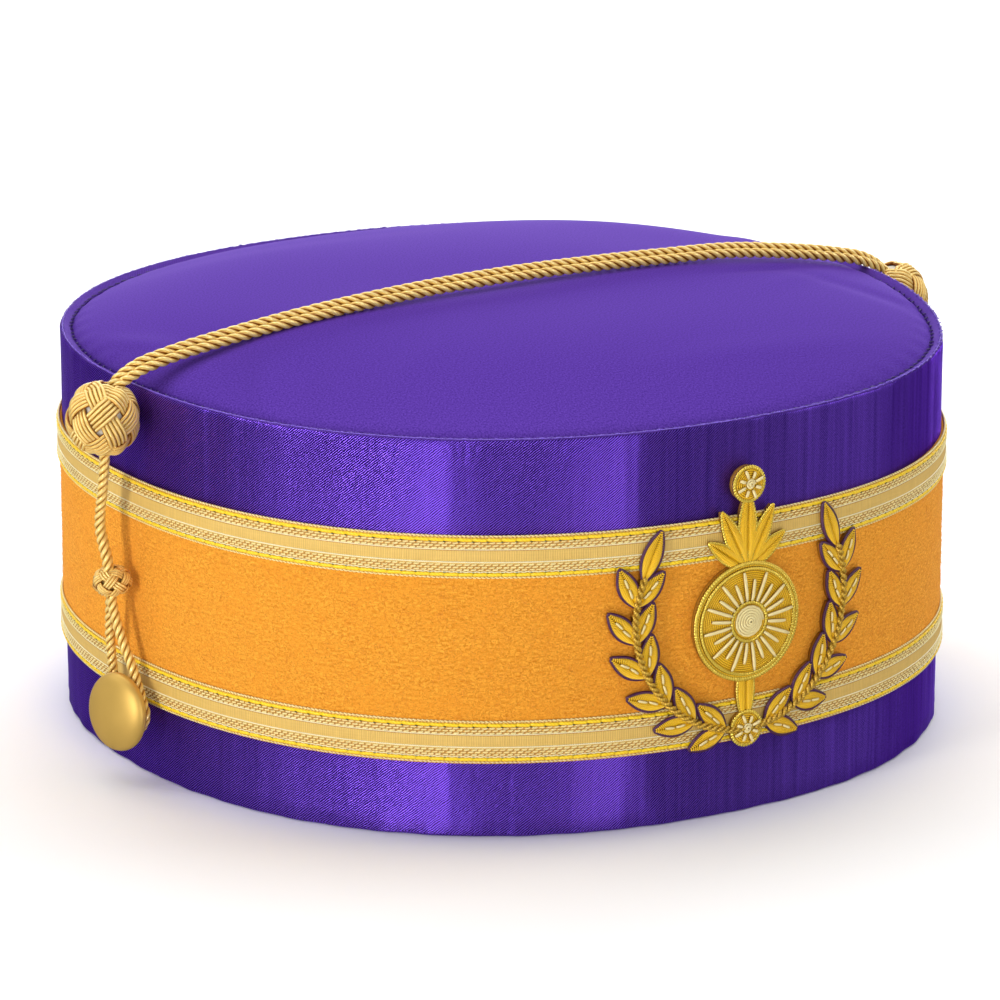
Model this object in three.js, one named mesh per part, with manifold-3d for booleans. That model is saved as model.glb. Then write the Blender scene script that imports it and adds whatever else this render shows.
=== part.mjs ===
// A regalia crown cap: an oval, flat-sided cap of purple satin on a stiff wall, with a domed top sewn
// inside a rolled rim. A felt band goes round it between two gold lace braids. A doubled gold cord runs
// over the top from ear to ear, through a woven ball knot and a small slide knot on each side, and
// loops round the shank of a domed brass button. An embroidered badge is sewn on at the front.
//
// Millimetres, +Z up. The cap stands on its open edge, z = 0, with the origin at the middle of the
// oval. The front, with the badge, faces -Y, and the cords hang at the two ears, +X and -X.

import * as THREE from "three";
import { mergeVertices } from "three/addons/utils/BufferGeometryUtils.js";
import Module from "manifold-3d";

const wasm = await Module();
wasm.setup();

// ---------------------------------------------------------------- driving dimensions

const HALF_WIDTH = 96.3; // outside of the satin wall, ear to ear
const HALF_DEPTH = 97.8; // and front to back
const SQUARENESS = 2.2; // exponent of the oval, where 2 is a plain ellipse
const WALL_HEIGHT = 87.4;
const WALL = 2.2; // satin over a stiff board
const RIM_ROLL = 0.9; // radius of the wall's rolled top edge
const RIM_WIDTH = 3; // from the wall's face in to the seam of the top
const RIM_DROP = 0.9; // of that seam below the rolled edge
const DOME_RISE = 11; // of the top above its own edge
const DOME_FULLNESS = 3.6; // exponent of the dome's section
const TOP_THICK = 1.8;
const GAP = 0.3; // between pieces that touch on the real cap
const LAYER_GAP = 0.1; // and between the layers sewn flat on its wall
const OVAL_STEPS = 64;

const FELT = { low: 16.5, high: 66.6, thick: 0.6 };
const BRAID = { width: 9.4, thick: 0.5, lower: 16.8, upper: 57.6 };

const CORD_RADIUS = 1.05;
const CORD_SIDES = 8;
const CORD_STEP = 6;

// Both kinds of knot have their middle `out` of the wall, and level with the cords they hold.
const KNOT = { radius: 7.5, halfHeight: 8.1, relief: 0.3, bights: 5, round: 20, rings: 12 };
const KNOT_MIDDLE = [8.3, -6.6, 81.5];
const SLIDE = { radius: 4.1, halfHeight: 3.3, relief: 0.2, bights: 4, round: 16, rings: 8 };
const SLIDE_MIDDLE = [5.7, -4.4, 44];

const BUTTON = { radius: 8.7, back: 6.6, rim: 0.9, dome: 2.6, shank: 1.2, turn: 75, z: 15 };

const BADGE = { z: 43.5, thick: 1.1, wreath: 26.5, wreathY: 2.5, medallion: 13, leaf: 9.6, leafWidth: 4.4 };

// ---------------------------------------------------------------- the oval

// Distance from the middle to the outside of the wall, at an angle from the front towards +X.
function ovalRadius(angle) {
  const across = Math.abs(Math.sin(angle) / HALF_WIDTH) ** SQUARENESS;
  const along = Math.abs(Math.cos(angle) / HALF_DEPTH) ** SQUARENESS;
  return (across + along) ** (-1 / SQUARENESS);
}

// A point that lies `out` millimetres outside the wall's face.
function onWall(angle, out, z) {
  const r = ovalRadius(angle) + out;
  return new THREE.Vector3(r * Math.sin(angle), -r * Math.cos(angle), z);
}

// Moves every vertex of a geometry to the point that `place` gives for it.
function remap(geometry, place) {
  const position = geometry.getAttribute("position");
  const p = new THREE.Vector3();
  for (let i = 0; i < position.count; i++) {
    p.fromBufferAttribute(position, i);
    const q = place(p);
    position.setXYZ(i, q.x, q.y, q.z);
  }
  return geometry;
}

// A closed band round the oval. `section` lists [out, z] corners, anticlockwise seen with out to the right.
const LATHE_RADIUS = 100;
function ovalBand(section) {
  const points = [...section, section[0]].map(([out, z]) => new THREE.Vector2(LATHE_RADIUS + out, z));
  const turned = new THREE.LatheGeometry(points, OVAL_STEPS);
  return remap(turned, (p) => onWall(Math.atan2(p.x, p.z), Math.hypot(p.x, p.z) - LATHE_RADIUS, p.y));
}

// ---------------------------------------------------------------- wall and top

// The wall's section: up the outside, round the rolled rim, in to the seam, and down the inside.
function crownWall() {
  const foot = 0.4;
  const roll = [];
  for (let i = 0; i <= 3; i++) {
    const a = (i / 3) * (Math.PI / 2);
    roll.push([RIM_ROLL * (Math.cos(a) - 1), WALL_HEIGHT + RIM_ROLL * (Math.sin(a) - 1)]);
  }
  return ovalBand([
    [0, foot],
    ...roll,
    [-RIM_WIDTH, WALL_HEIGHT - RIM_DROP],
    [-RIM_WIDTH, WALL_HEIGHT - 3.2],
    [-WALL, WALL_HEIGHT - 5.5],
    [-WALL, foot],
    [-WALL + foot, 0],
    [-foot, 0],
  ]);
}

const TOP_EDGE_OUT = -RIM_WIDTH - GAP; // where the domed top meets the rim
const TOP_EDGE_Z = WALL_HEIGHT - RIM_DROP;

// Height of the top's outer face at a share of the way from the middle to its edge.
const domeHeight = (share) => TOP_EDGE_Z + DOME_RISE * (1 - share ** DOME_FULLNESS);

function crownTop() {
  const shares = [0, 0.45, 0.72, 0.9, 1];
  const under = shares.map((s) => new THREE.Vector2(s, domeHeight(s) - TOP_THICK));
  const over = shares.map((s) => new THREE.Vector2(s, domeHeight(s))).reverse();
  const turned = new THREE.LatheGeometry([...under, ...over], OVAL_STEPS);
  return remap(turned, (p) => {
    const angle = Math.atan2(p.x, p.z);
    const edge = onWall(angle, TOP_EDGE_OUT, p.y);
    const share = Math.hypot(p.x, p.z);
    return new THREE.Vector3(edge.x * share, edge.y * share, p.y);
  });
}

// ---------------------------------------------------------------- felt and braids

const FELT_OUT = LAYER_GAP + FELT.thick;

function feltBand() {
  return ovalBand([
    [LAYER_GAP, FELT.low],
    [FELT_OUT, FELT.low],
    [FELT_OUT, FELT.high],
    [LAYER_GAP, FELT.high],
  ]);
}

// A flat braid with thin edges and a raised middle, over the felt, from z = low upwards.
function braid(low) {
  const inner = FELT_OUT + LAYER_GAP;
  const edge = inner + 0.6 * BRAID.thick;
  const face = inner + BRAID.thick;
  const high = low + BRAID.width;
  const shoulder = 0.25 * BRAID.width;
  return ovalBand([
    [inner, low],
    [edge, low],
    [face, low + shoulder],
    [face, high - shoulder],
    [edge, high],
    [inner, high],
  ]);
}

// ---------------------------------------------------------------- cords, knots and buttons

// Stops beside the cap are given as [out, y, z], where `out` is how far outside the ear's wall they lie.
// The two cords lie side by side: `middle` is the line between them, and `front` is how far the front
// cord's own middle is from it; the back cord lies as far the other way. From the slide knot upwards:
const SIDE_ROUTE = [
  { middle: [6.5, -4.2, 47.5], front: [0.62, -1.02, 0] },
  { middle: [7.9, -3.4, 56.5], front: [0.62, -1.02, 0] },
  { middle: [8, -5, 65], front: [0.62, -1.02, 0] },
  { middle: [8, -6.5, 74], front: [0.6, -1.03, 0] },
  { middle: [8.2, -6.6, 81.5], front: [0.45, -1.08, -0.2] },
  { middle: [5.9, -6.6, 87.6], front: [0.3, -1.06, -0.45] },
  { middle: [0.4, -6.6, 91.2], front: [0, -1.03, -0.62] },
];
// The legs of the loop that goes round the button's shank, from under the shank up to the slide knot.
const LOOP = {
  front: [
    [3.6, -8.5, 10.9],
    [3.4, -11.6, 11.7],
    [3.3, -14.1, 15.3],
    [3.6, -13, 19],
    [4.3, -10.6, 25],
    [5.5, -7.6, 32],
    [6.4, -5.7, 38.6],
  ],
  back: [
    [3.6, -7.9, 10.9],
    [3.6, -4.8, 11.7],
    [3.9, -2.5, 15.5],
    [4.6, -1.9, 21.5],
    [5.3, -2.2, 28],
    [5.7, -2.9, 34.6],
    [5.7, -3.3, 39.6],
  ],
};
const OVER_CROWN = { y: -6.6, front: [0, -1.03, -0.62] };
// Height of the pair's middle above the rim, at distances from the cap's middle.
const CROWN_ARCH = [
  { x: 88, up: 6 },
  { x: 74, up: 8.1 },
  { x: 58, up: 10 },
  { x: 40, up: 11.5 },
  { x: 20, up: 12.55 },
  { x: 0, up: 12.9 },
];

// One cord from under the shank on -X to under the shank on +X. side is 1 for the front cord.
function cordRoute(side) {
  const shifted = (middle, front) => middle.map((m, i) => m + side * front[i]);
  const beside = [
    ...(side > 0 ? LOOP.front : LOOP.back),
    ...SIDE_ROUTE.map((stop) => shifted(stop.middle, stop.front)),
  ];
  const half = [
    ...beside.map(([out, y, z]) => [-HALF_WIDTH - out, y, z]),
    ...CROWN_ARCH.map((stop) =>
      shifted([-stop.x, OVER_CROWN.y, WALL_HEIGHT + stop.up], OVER_CROWN.front),
    ),
  ];
  const mirrored = half.slice(0, -1).reverse().map(([x, y, z]) => [-x, y, z]);
  return new THREE.CatmullRomCurve3([...half, ...mirrored].map((p) => new THREE.Vector3(...p)));
}

function tubeAlong(curve, radius) {
  const section = new THREE.Shape();
  for (let i = 0; i < CORD_SIDES; i++) {
    const a = (i / CORD_SIDES) * 2 * Math.PI;
    const move = i ? "lineTo" : "moveTo";
    section[move](radius * Math.cos(a), radius * Math.sin(a));
  }
  const steps = Math.round(curve.getLength() / CORD_STEP);
  return new THREE.ExtrudeGeometry(section, { steps, extrudePath: curve, curveSegments: 1 });
}

const cordRoutes = { front: cordRoute(1), back: cordRoute(-1) };

// A manifold-3d solid from a three.js geometry, and back.
function solidOf(geometry) {
  const bare = new THREE.BufferGeometry().setAttribute("position", geometry.getAttribute("position"));
  const merged = mergeVertices(bare.setIndex(geometry.index), 1e-4);
  const mesh = new wasm.Mesh({
    numProp: 3,
    vertProperties: merged.getAttribute("position").array,
    triVerts: new Uint32Array(merged.index.array),
  });
  return new wasm.Manifold(mesh);
}

function geometryOf(solid) {
  const mesh = solid.getMesh();
  return new THREE.BufferGeometry()
    .setAttribute("position", new THREE.BufferAttribute(mesh.vertProperties, 3))
    .setIndex(new THREE.BufferAttribute(mesh.triVerts, 1));
}

// A woven knot: a ball with the low lattice of its bands, and a channel for the two cords.
// side is -1 or 1, for the ear on -X or +X.
function wovenKnot(knot, [out, y, z], side) {
  const centre = new THREE.Vector3(side * (HALF_WIDTH + out), y, z);
  const sphere = new THREE.SphereGeometry(1, knot.round, knot.rings).rotateX(Math.PI / 2);
  const ball = remap(sphere, (p) => {
    const turn = Math.atan2(p.y, p.x);
    const tilt = Math.asin(THREE.MathUtils.clamp(p.z, -1, 1));
    const weave = Math.cos(knot.bights * turn) * Math.cos(4 * tilt) * Math.cos(tilt);
    const grow = 1 + (knot.relief / knot.radius) * weave;
    return new THREE.Vector3(
      centre.x + p.x * knot.radius * grow,
      centre.y + p.y * knot.radius * grow,
      centre.z + p.z * knot.halfHeight * grow,
    );
  });
  let solid = solidOf(ball);
  for (const curve of Object.values(cordRoutes)) {
    solid = solid.subtract(solidOf(tubeAlong(curve, CORD_RADIUS + GAP)));
  }
  return geometryOf(solid);
}

// A domed button on a straight shank, which points at the wall. Its own axis is +Y of the lathe.
function button(side) {
  const { radius, back, rim, dome, shank, turn } = BUTTON;
  const profile = [
    [0, 0],
    [shank, 0],
    [shank, back],
    [radius - 0.5, back],
    [radius, back + 0.4],
    [radius, back + rim],
  ];
  for (let i = 1; i <= 4; i++) {
    const a = (i / 4) * (Math.PI / 2);
    profile.push([radius * Math.cos(a), back + rim + dome * Math.sin(a)]);
  }
  profile[profile.length - 1][0] = 0;
  const turned = new THREE.LatheGeometry(
    profile.map(([r, h]) => new THREE.Vector2(r, h)),
    24,
  );
  const axis = new THREE.Vector3(
    side * Math.sin(THREE.MathUtils.degToRad(turn)),
    -Math.cos(THREE.MathUtils.degToRad(turn)),
    0,
  );
  turned.applyQuaternion(new THREE.Quaternion().setFromUnitVectors(new THREE.Vector3(0, 1, 0), axis));
  return turned.translate(side * (HALF_WIDTH + 0.5), -7.4, BUTTON.z);
}

// ---------------------------------------------------------------- badge

// Bends a flat shape, drawn with x round the cap, y up and z out, onto the front.
const BADGE_OUT = FELT_OUT + LAYER_GAP + BRAID.thick + GAP;
function onFront(geometry) {
  return remap(geometry, (p) => {
    const angle = p.x / (HALF_DEPTH + BADGE_OUT);
    return onWall(angle, BADGE_OUT + p.z, BADGE.z + p.y);
  });
}

function leafShape(length, width) {
  const leaf = new THREE.Shape();
  leaf.moveTo(0, 0);
  leaf.quadraticCurveTo(0.45 * length, width, length, 0);
  leaf.quadraticCurveTo(0.45 * length, -width, 0, 0);
  return leaf;
}

function plate(shape, depth = BADGE.thick, curveSegments = 2) {
  return new THREE.ExtrudeGeometry(shape, { depth, bevelEnabled: false, curveSegments });
}

// A leaf laid flat with its base at [x, y], pointing along `angle`.
function leaf(x, y, angle, length = BADGE.leaf, width = BADGE.leafWidth) {
  return plate(leafShape(length, width)).rotateZ(angle).translate(x, y, 0);
}

const WREATH = { start: -79, end: 26, pairs: 6, splay: 32 };

// One branch of the wreath: a curved stem with leaves in pairs and one at its tip. side is 1 or -1.
function branch(side) {
  const rad = THREE.MathUtils.degToRad;
  const pieces = [];
  const stem = new THREE.Shape();
  stem.absarc(0, BADGE.wreathY, BADGE.wreath + 0.9, rad(-91), rad(WREATH.end), false);
  stem.absarc(0, BADGE.wreathY, BADGE.wreath - 0.9, rad(WREATH.end), rad(-91), true);
  pieces.push(plate(stem, BADGE.thick, 8));
  for (let i = 0; i <= WREATH.pairs; i++) {
    const tip = i === WREATH.pairs;
    const at = rad(WREATH.start + ((WREATH.end - WREATH.start) * i) / WREATH.pairs - (tip ? 5 : 0));
    const x = BADGE.wreath * Math.cos(at);
    const y = BADGE.wreathY + BADGE.wreath * Math.sin(at);
    const along = at + Math.PI / 2;
    if (tip) pieces.push(leaf(x, y, along, 1.2 * BADGE.leaf));
    else for (const splay of [-1, 1]) pieces.push(leaf(x, y, along + splay * rad(WREATH.splay)));
  }
  return pieces.map((g) => (side > 0 ? g : mirroredX(g)));
}

// A copy reflected in x, with its faces turned back to point out.
function mirroredX(geometry) {
  const flat = geometry.index ? geometry.toNonIndexed() : geometry.clone();
  const position = flat.getAttribute("position");
  for (let i = 0; i < position.count; i += 3) {
    const [a, b, c] = [i, i + 1, i + 2].map((k) => new THREE.Vector3().fromBufferAttribute(position, k));
    position.setXYZ(i, -a.x, a.y, a.z);
    position.setXYZ(i + 1, -c.x, c.y, c.z);
    position.setXYZ(i + 2, -b.x, b.y, b.z);
  }
  return flat;
}

// A round boss, flat behind and with a raised edge, its middle at height y.
function boss(y, radius, height, steps) {
  const profile = [
    [0, 0],
    [radius, 0],
    [radius, 0.75 * height],
    [0.92 * radius, height],
    [0.82 * radius, 0.8 * height],
    [0.5 * radius, 0.8 * height],
    [0.42 * radius, height],
    [0, height],
  ];
  const points = profile.map(([r, h]) => new THREE.Vector2(r, h));
  return new THREE.LatheGeometry(points, steps).rotateX(Math.PI / 2).translate(0, y, 0);
}

// The fan of leaves above the medallion, with a small boss at its top.
const PALMETTE = {
  y: 11.5,
  leaves: [
    { turn: 0, length: 17.5, width: 4.8 },
    { turn: 26, length: 15, width: 4.2 },
    { turn: 54, length: 12, width: 3.8 },
  ],
  bossY: 30.3,
  bossRadius: 3.9,
};

function badge() {
  const rad = THREE.MathUtils.degToRad;
  const pieces = [...branch(1), ...branch(-1)];
  const foot = BADGE.wreathY - BADGE.wreath;
  pieces.push(boss(0, BADGE.medallion, 2, 20));
  pieces.push(boss(foot, 3.9, 1.8, 12));
  pieces.push(boss(PALMETTE.bossY, PALMETTE.bossRadius, 1.8, 12));
  for (const { turn, length, width } of PALMETTE.leaves) {
    for (const side of turn ? [-1, 1] : [1]) {
      pieces.push(leaf(0, PALMETTE.y, Math.PI / 2 + side * rad(turn), length, width));
    }
  }
  pieces.push(leaf(0, foot + 1, Math.PI / 2, 16, 4.6));
  const flat = pieces.map(solidOf).reduce((joined, piece) => joined.add(piece));
  return onFront(geometryOf(flat));
}

// ---------------------------------------------------------------- the cap

const PURPLE = new THREE.MeshStandardMaterial({ color: 0x4a22a0, roughness: 0.45 });
const ORANGE = new THREE.MeshStandardMaterial({ color: 0xf7a131, roughness: 1 });
const LACE = new THREE.MeshStandardMaterial({ color: 0xe3c46b, roughness: 0.5, metalness: 0.3 });
const GOLD_CORD = new THREE.MeshStandardMaterial({ color: 0xd9a84f, roughness: 0.45, metalness: 0.3 });
const BRASS = new THREE.MeshStandardMaterial({ color: 0xc09a45, roughness: 0.35, metalness: 1 });
const BULLION = new THREE.MeshStandardMaterial({ color: 0xe6ac1e, roughness: 0.4, metalness: 0.5 });

const cap = new THREE.Group();
cap.name = "crown_cap";

function add(name, geometry, material) {
  const mesh = new THREE.Mesh(geometry, material);
  mesh.name = name;
  cap.add(mesh);
}

add("crown_wall", crownWall(), PURPLE);
add("crown_top", crownTop(), PURPLE);
add("felt_band", feltBand(), ORANGE);
add("lower_braid", braid(BRAID.lower), LACE);
add("upper_braid", braid(BRAID.upper), LACE);
add("cord_front", tubeAlong(cordRoutes.front, CORD_RADIUS), GOLD_CORD);
add("cord_back", tubeAlong(cordRoutes.back, CORD_RADIUS), GOLD_CORD);
for (const [side, name] of [[-1, "right"], [1, "left"]]) {
  add(`${name}_ball_knot`, wovenKnot(KNOT, KNOT_MIDDLE, side), GOLD_CORD);
  add(`${name}_slide_knot`, wovenKnot(SLIDE, SLIDE_MIDDLE, side), GOLD_CORD);
  add(`${name}_button`, button(side), BRASS);
}
add("front_badge", badge(), BULLION);

export default cap;
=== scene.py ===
"""The looks of a regalia crown cap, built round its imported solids.

Lengths here are in millimetres unless a comment says metres. A mesh is in metres, in the solids'
frame: +Z up, the front with the badge at -Y, and the ears with the cords at +X and -X.
"""

from collections import defaultdict
from math import cos, exp, pi, radians, sin

import bpy
import numpy as np
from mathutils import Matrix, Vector


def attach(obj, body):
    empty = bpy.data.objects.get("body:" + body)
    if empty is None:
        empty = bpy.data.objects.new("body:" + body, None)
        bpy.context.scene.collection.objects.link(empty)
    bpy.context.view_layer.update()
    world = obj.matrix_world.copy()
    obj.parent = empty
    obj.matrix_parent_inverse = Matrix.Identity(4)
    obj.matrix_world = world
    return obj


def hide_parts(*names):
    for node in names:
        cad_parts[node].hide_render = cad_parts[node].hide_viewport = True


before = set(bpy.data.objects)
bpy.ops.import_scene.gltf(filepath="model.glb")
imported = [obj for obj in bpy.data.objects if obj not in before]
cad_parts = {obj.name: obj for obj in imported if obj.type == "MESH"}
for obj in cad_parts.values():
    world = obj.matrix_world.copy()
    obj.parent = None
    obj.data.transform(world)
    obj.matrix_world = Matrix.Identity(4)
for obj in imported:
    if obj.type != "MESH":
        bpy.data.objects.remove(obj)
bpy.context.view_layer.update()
scene = bpy.context.scene
MM = 0.001
TURN = 2 * pi


# ---- camera


def add(name, data):
    """A new object in the scene, made of that mesh, light or camera."""
    made = bpy.data.objects.new(name, data)
    scene.collection.objects.link(made)
    return made


def direction(azimuth, elevation):
    """The unit vector from the cap towards something at that azimuth and elevation, in degrees."""
    a, e = radians(azimuth), radians(elevation)
    return Vector((sin(a) * cos(e), -cos(a) * cos(e), sin(e)))


def aim_at(thing, target):
    """Turns a camera or light to look at a point."""
    thing.rotation_mode = "QUATERNION"
    thing.rotation_quaternion = (Vector(target) - thing.location).to_track_quat("-Z", "Y")


CAMERA = {
    "azimuth": -31.71, "elevation": 16.0, "distance": 1238, "aim": (0, 0, 45.8), "lens": 195.5,
}


scene.camera = add("camera", bpy.data.cameras.new("camera"))
scene.camera.data.lens = CAMERA["lens"]
scene.camera.data.sensor_width = 36
scene.camera.data.clip_end = 20
aim = Vector(CAMERA["aim"]) * MM
away = direction(CAMERA["azimuth"], CAMERA["elevation"])
scene.camera.location = aim + away * CAMERA["distance"] * MM
aim_at(scene.camera, aim)


# ---- materials


class Shade:
    """Builds one node material. It takes numbers, linear colours, or sockets to link."""

    def __init__(self, name, **shader):
        self.material = bpy.data.materials.new(name)
        self.material.use_nodes = True
        self.tree = self.material.node_tree
        self.shader = self.tree.nodes["Principled BSDF"]
        for key, value in shader.items():
            self.set(key.replace("_", " ").title(), value)

    def put(self, socket, value):
        if isinstance(value, bpy.types.NodeSocket):
            self.tree.links.new(value, socket)
        elif socket.type == "RGBA":
            socket.default_value = (*value, 1.0)
        else:
            socket.default_value = value

    def set(self, name, value):
        """Sets one of the shader's own sockets."""
        self.put(self.shader.inputs[name.replace("Ior", "IOR")], value)

    def node(self, kind, inputs=(), output=0, **settings):
        """An output of a new node, or all for None. inputs is a dict, or a list in order."""
        made = self.tree.nodes.new("ShaderNode" + kind)
        for key, value in settings.items():
            setattr(made, key, value)
        pairs = inputs.items() if isinstance(inputs, dict) else enumerate(inputs)
        for key, value in pairs:
            self.put(made.inputs[key], value)
        return made.outputs if output is None else made.outputs[output]

    def math(self, operation, *values):
        return self.node("Math", values, operation=operation)

    def times(self, value, factor, plus=None):
        """value times factor, and with something added where plus is given."""
        if plus is None:
            return self.math("MULTIPLY", value, factor)
        return self.math("MULTIPLY_ADD", value, factor, plus)

    def weave(self):
        """x, y and z of the surface's own weave coordinates, in millimetres along and across it."""
        weave = self.node("Attribute", attribute_name="weave", output="Vector")
        return self.node("SeparateXYZ", [weave], output=None)

    def vector(self, x, y, z=0.0):
        return self.node("CombineXYZ", [x, y, z])

    def noise(self, where, scale, detail=2.0, roughness=0.5):
        inputs = {"Vector": where, "Scale": scale, "Detail": detail, "Roughness": roughness}
        return self.node("TexNoise", inputs)

    def clouds(self, x, y, by_x, by_y, roughness=0.5, detail=3.0, z=0.0):
        """Noise over x and y, each scaled by a factor of its own."""
        where = self.vector(self.times(x, by_x), self.times(y, by_y), z)
        return self.noise(where, 1.0, detail, roughness)

    def wave(self, value):
        """0 to 1 and back for each whole step of value."""
        return self.times(self.math("COSINE", self.times(value, TURN)), 0.5, 0.5)

    def range(self, value, low, high, to_low=0.0, to_high=1.0):
        return self.node("MapRange", [value, low, high, to_low, to_high])

    def mix(self, share, first, second):
        inputs = {0: share, 6: first, 7: second}
        return self.node("Mix", inputs, output=2, data_type="RGBA")

    def done(self, colour, height, distance, strength=1.0):
        """The material in a colour, bumped by a height from 0 to 1, where 1 is distance in mm."""
        self.set("Base Color", colour)
        inputs = {"Height": height, "Distance": distance * MM, "Strength": strength}
        self.set("Normal", self.node("Bump", inputs))
        return self.material


# The twill's ribs, their painted highlight and shade as well as their relief, fade to a share from
# the middle of the front towards +X, as painted shading for the lamp light that rakes that side
# less: they fade before the front, stay faded for a length, and are whole again by another.
RIB_LIGHTING_FADE = {"share": 0.15, "fade": 55, "stay": 150, "whole": 220}


def satin(name, dark, light, contrast, relief, streaks, grains, **shader):
    """Purple satin: fine twill ribs that rise to the right, a cloudy grain, and soft streaks and
    longer folds of the warp down the cloth. The ribs' ridges are painted in the light shade and
    their grooves in the dark one, as painted highlight and shade of the twill.
    """
    s = Shade(name, specular_ior_level=0.15, **shader)
    s.set("Specular Tint", (0.5, 0.3, 1.0))
    s.set("Anisotropic Rotation", 0.25)
    s.set("Tangent", s.node("Tangent", direction_type="RADIAL", axis="Z"))
    x, y, _ = s.weave()
    slub = s.clouds(x, y, 0.7, 0.7)
    phase = s.math("SUBTRACT", s.math("DIVIDE", x, 0.69), s.math("DIVIDE", y, 0.56))
    rib = s.wave(s.math("ADD", slub, phase))
    streak = s.clouds(x, y, 0.7, 0.015, 0.6)
    fold = s.clouds(x, y, 0.3, 0.012, detail=2.0)
    grain = s.clouds(x, y, 2.6, 2.0, 0.7)
    # painted shading: the ribs' contrast and relief fade on the side towards +X
    before = s.range(x, GIRTH - RIB_LIGHTING_FADE["fade"], GIRTH, 1.0, RIB_LIGHTING_FADE["share"])
    after = s.range(x, RIB_LIGHTING_FADE["stay"], RIB_LIGHTING_FADE["whole"], RIB_LIGHTING_FADE["share"], 1.0)
    rib_lighting_fade = s.math("MINIMUM", before, after)
    # painted highlight and shade: each rib's ridge takes the light shade and its groove the dark
    # one, on top of its bump
    rib_highlight_and_relief = s.times(s.math("SUBTRACT", rib, 0.5), rib_lighting_fade)
    share = s.times(rib_highlight_and_relief, contrast, 0.5)
    share = s.times(s.math("SUBTRACT", streak, 0.5), streaks, share)
    share = s.times(s.math("SUBTRACT", grain, 0.5), grains, share)
    height = s.times(streak, streaks, s.times(grain, 0.3 * grains, rib_highlight_and_relief))
    height = s.times(fold, 4 * streaks, height)
    return s.done(s.mix(share, dark, light), height, relief)


def felt(name):
    """Orange felt: matted fibres with darker flecks and a soft cloudy pile."""
    s = Shade(name, roughness=0.95, sheen_weight=0.2, sheen_roughness=0.6, specular_ior_level=0.1)
    s.set("Sheen Tint", (1.0, 0.5, 0.12))
    x, y, _ = s.weave()
    where = s.vector(x, y)
    cloud = s.noise(where, 0.12, 4.0, 0.6)
    warped = s.vector(s.times(s.noise(where, 0.8), 3.0, x), y)
    hair = s.noise(warped, 1.7, 5.0, 0.75)
    fleck = s.noise(s.vector(s.times(x, 1.5), s.times(y, 2.2)), 1.3, 3.0, 0.8)
    base = s.mix(s.range(hair, 0.38, 0.62), (0.62, 0.19, 0.008), (0.97, 0.44, 0.05))
    base = s.mix(s.range(cloud, 0.45, 0.7, 0.0, 0.55), base, (0.84, 0.31, 0.025))
    base = s.mix(s.range(fleck, 0.56, 0.7, 0.0, 0.8), base, (0.34, 0.15, 0.015))
    return s.done(base, s.times(s.noise(where, 5.0, 3.0), 0.5, hair), 0.3, 0.9)


CREST_HIGHLIGHT = 0.5  # how far the crests of the cord's plies and of the gimp are painted a pale gold highlight


def crest(s, around, flank_shade, colour, crest_highlight):
    """The colour, darkened down a strand's flanks as painted shade, and paler along its crest as a
    painted highlight.

    `around` is 0 and 1 at the crest.
    """
    height = s.math("COSINE", s.times(around, TURN))
    if crest_highlight:
        # painted highlight: the strand turns pale gold where its crest faces straight out
        colour = s.mix(s.range(height, 0.8, 1.0, 0.0, crest_highlight), colour, (1.0, 0.87, 0.4))
    # painted shade: the colour darkens down each strand's flanks, towards where strands press
    # together
    return s.mix(s.range(height, -0.1, 0.7), flank_shade, colour)


def thread(name, dark, light, pitch, twist=1.0, stripes=0.45, wear=(1.5, 3.0, 0.5), flank_shade=None,
           crest_highlight=0.0, metallic=0.0, roughness=0.38):
    """Thread, gimp or a ply of filaments: stripes run round it, `pitch` apart, slanted by `twist`.

    wear is the scale along it, the scale round it and the roughness of its cloudy wear.
    """
    s = Shade(name, roughness=roughness, metallic=metallic, specular_ior_level=0.6)
    along, around, tone = s.weave()
    stripe = s.wave(s.times(around, twist, s.math("DIVIDE", along, pitch)))
    worn = s.clouds(along, around, *wear, z=tone)
    share = s.times(stripe, stripes, s.times(worn, 1 - stripes))
    colour = s.mix(share, dark, light)
    # Where a flank colour is given: painted shade down the strand's flanks, and a painted highlight
    # along its crest if one is asked for.
    if flank_shade:
        colour = crest(s, around, flank_shade, colour, crest_highlight)
    return s.done(colour, stripe, 0.05)


def brass(name):
    """Satin-finished brass with faint lathe marks and handling wear."""
    s = Shade(name, metallic=0.55, specular_ior_level=0.5)
    x, y, _ = s.weave()
    where = s.node("TexCoord", output="Object")
    turned = s.clouds(y, x, 9.0, 0.3, detail=2.0)
    cloud = s.noise(where, 160.0, 3.0)
    base = s.mix(cloud, (0.58, 0.36, 0.075), (0.68, 0.43, 0.1))
    s.set("Roughness", s.times(turned, 0.1, s.range(cloud, 0.2, 0.8, 0.38, 0.46)))
    return s.done(base, turned, 0.008, 0.6)


def lace_ground(name):
    """The braid's ground: a smooth middle of fine upright ribs between two open lacy strips."""
    s = Shade(name, roughness=0.45, metallic=0.1, specular_ior_level=0.5)
    x, y, _ = s.weave()
    away = s.math("ABSOLUTE", s.math("SUBTRACT", y, 0.5 * BRAID_WIDTH))
    middle = s.range(away, 1.5, 1.35)
    rib = s.wave(s.math("DIVIDE", x, 0.5))
    fine = s.clouds(x, y, 2.2, 0.15, 0.7)
    weft = s.clouds(x, y, 0.12, 3.0, detail=2.0)
    share = s.times(rib, 0.25, s.times(fine, 0.5))
    share = s.times(weft, 0.3, share)
    ribbed = s.mix(share, (0.46, 0.26, 0.04), (0.92, 0.63, 0.17))
    net = s.times(s.wave(s.math("DIVIDE", x, 0.75)), s.wave(s.math("DIVIDE", y, 0.6)))
    lacy = s.mix(net, (0.42, 0.19, 0.02), (0.84, 0.52, 0.12))
    return s.done(s.mix(middle, lacy, ribbed), s.mix(middle, net, rib), 0.06)


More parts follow.
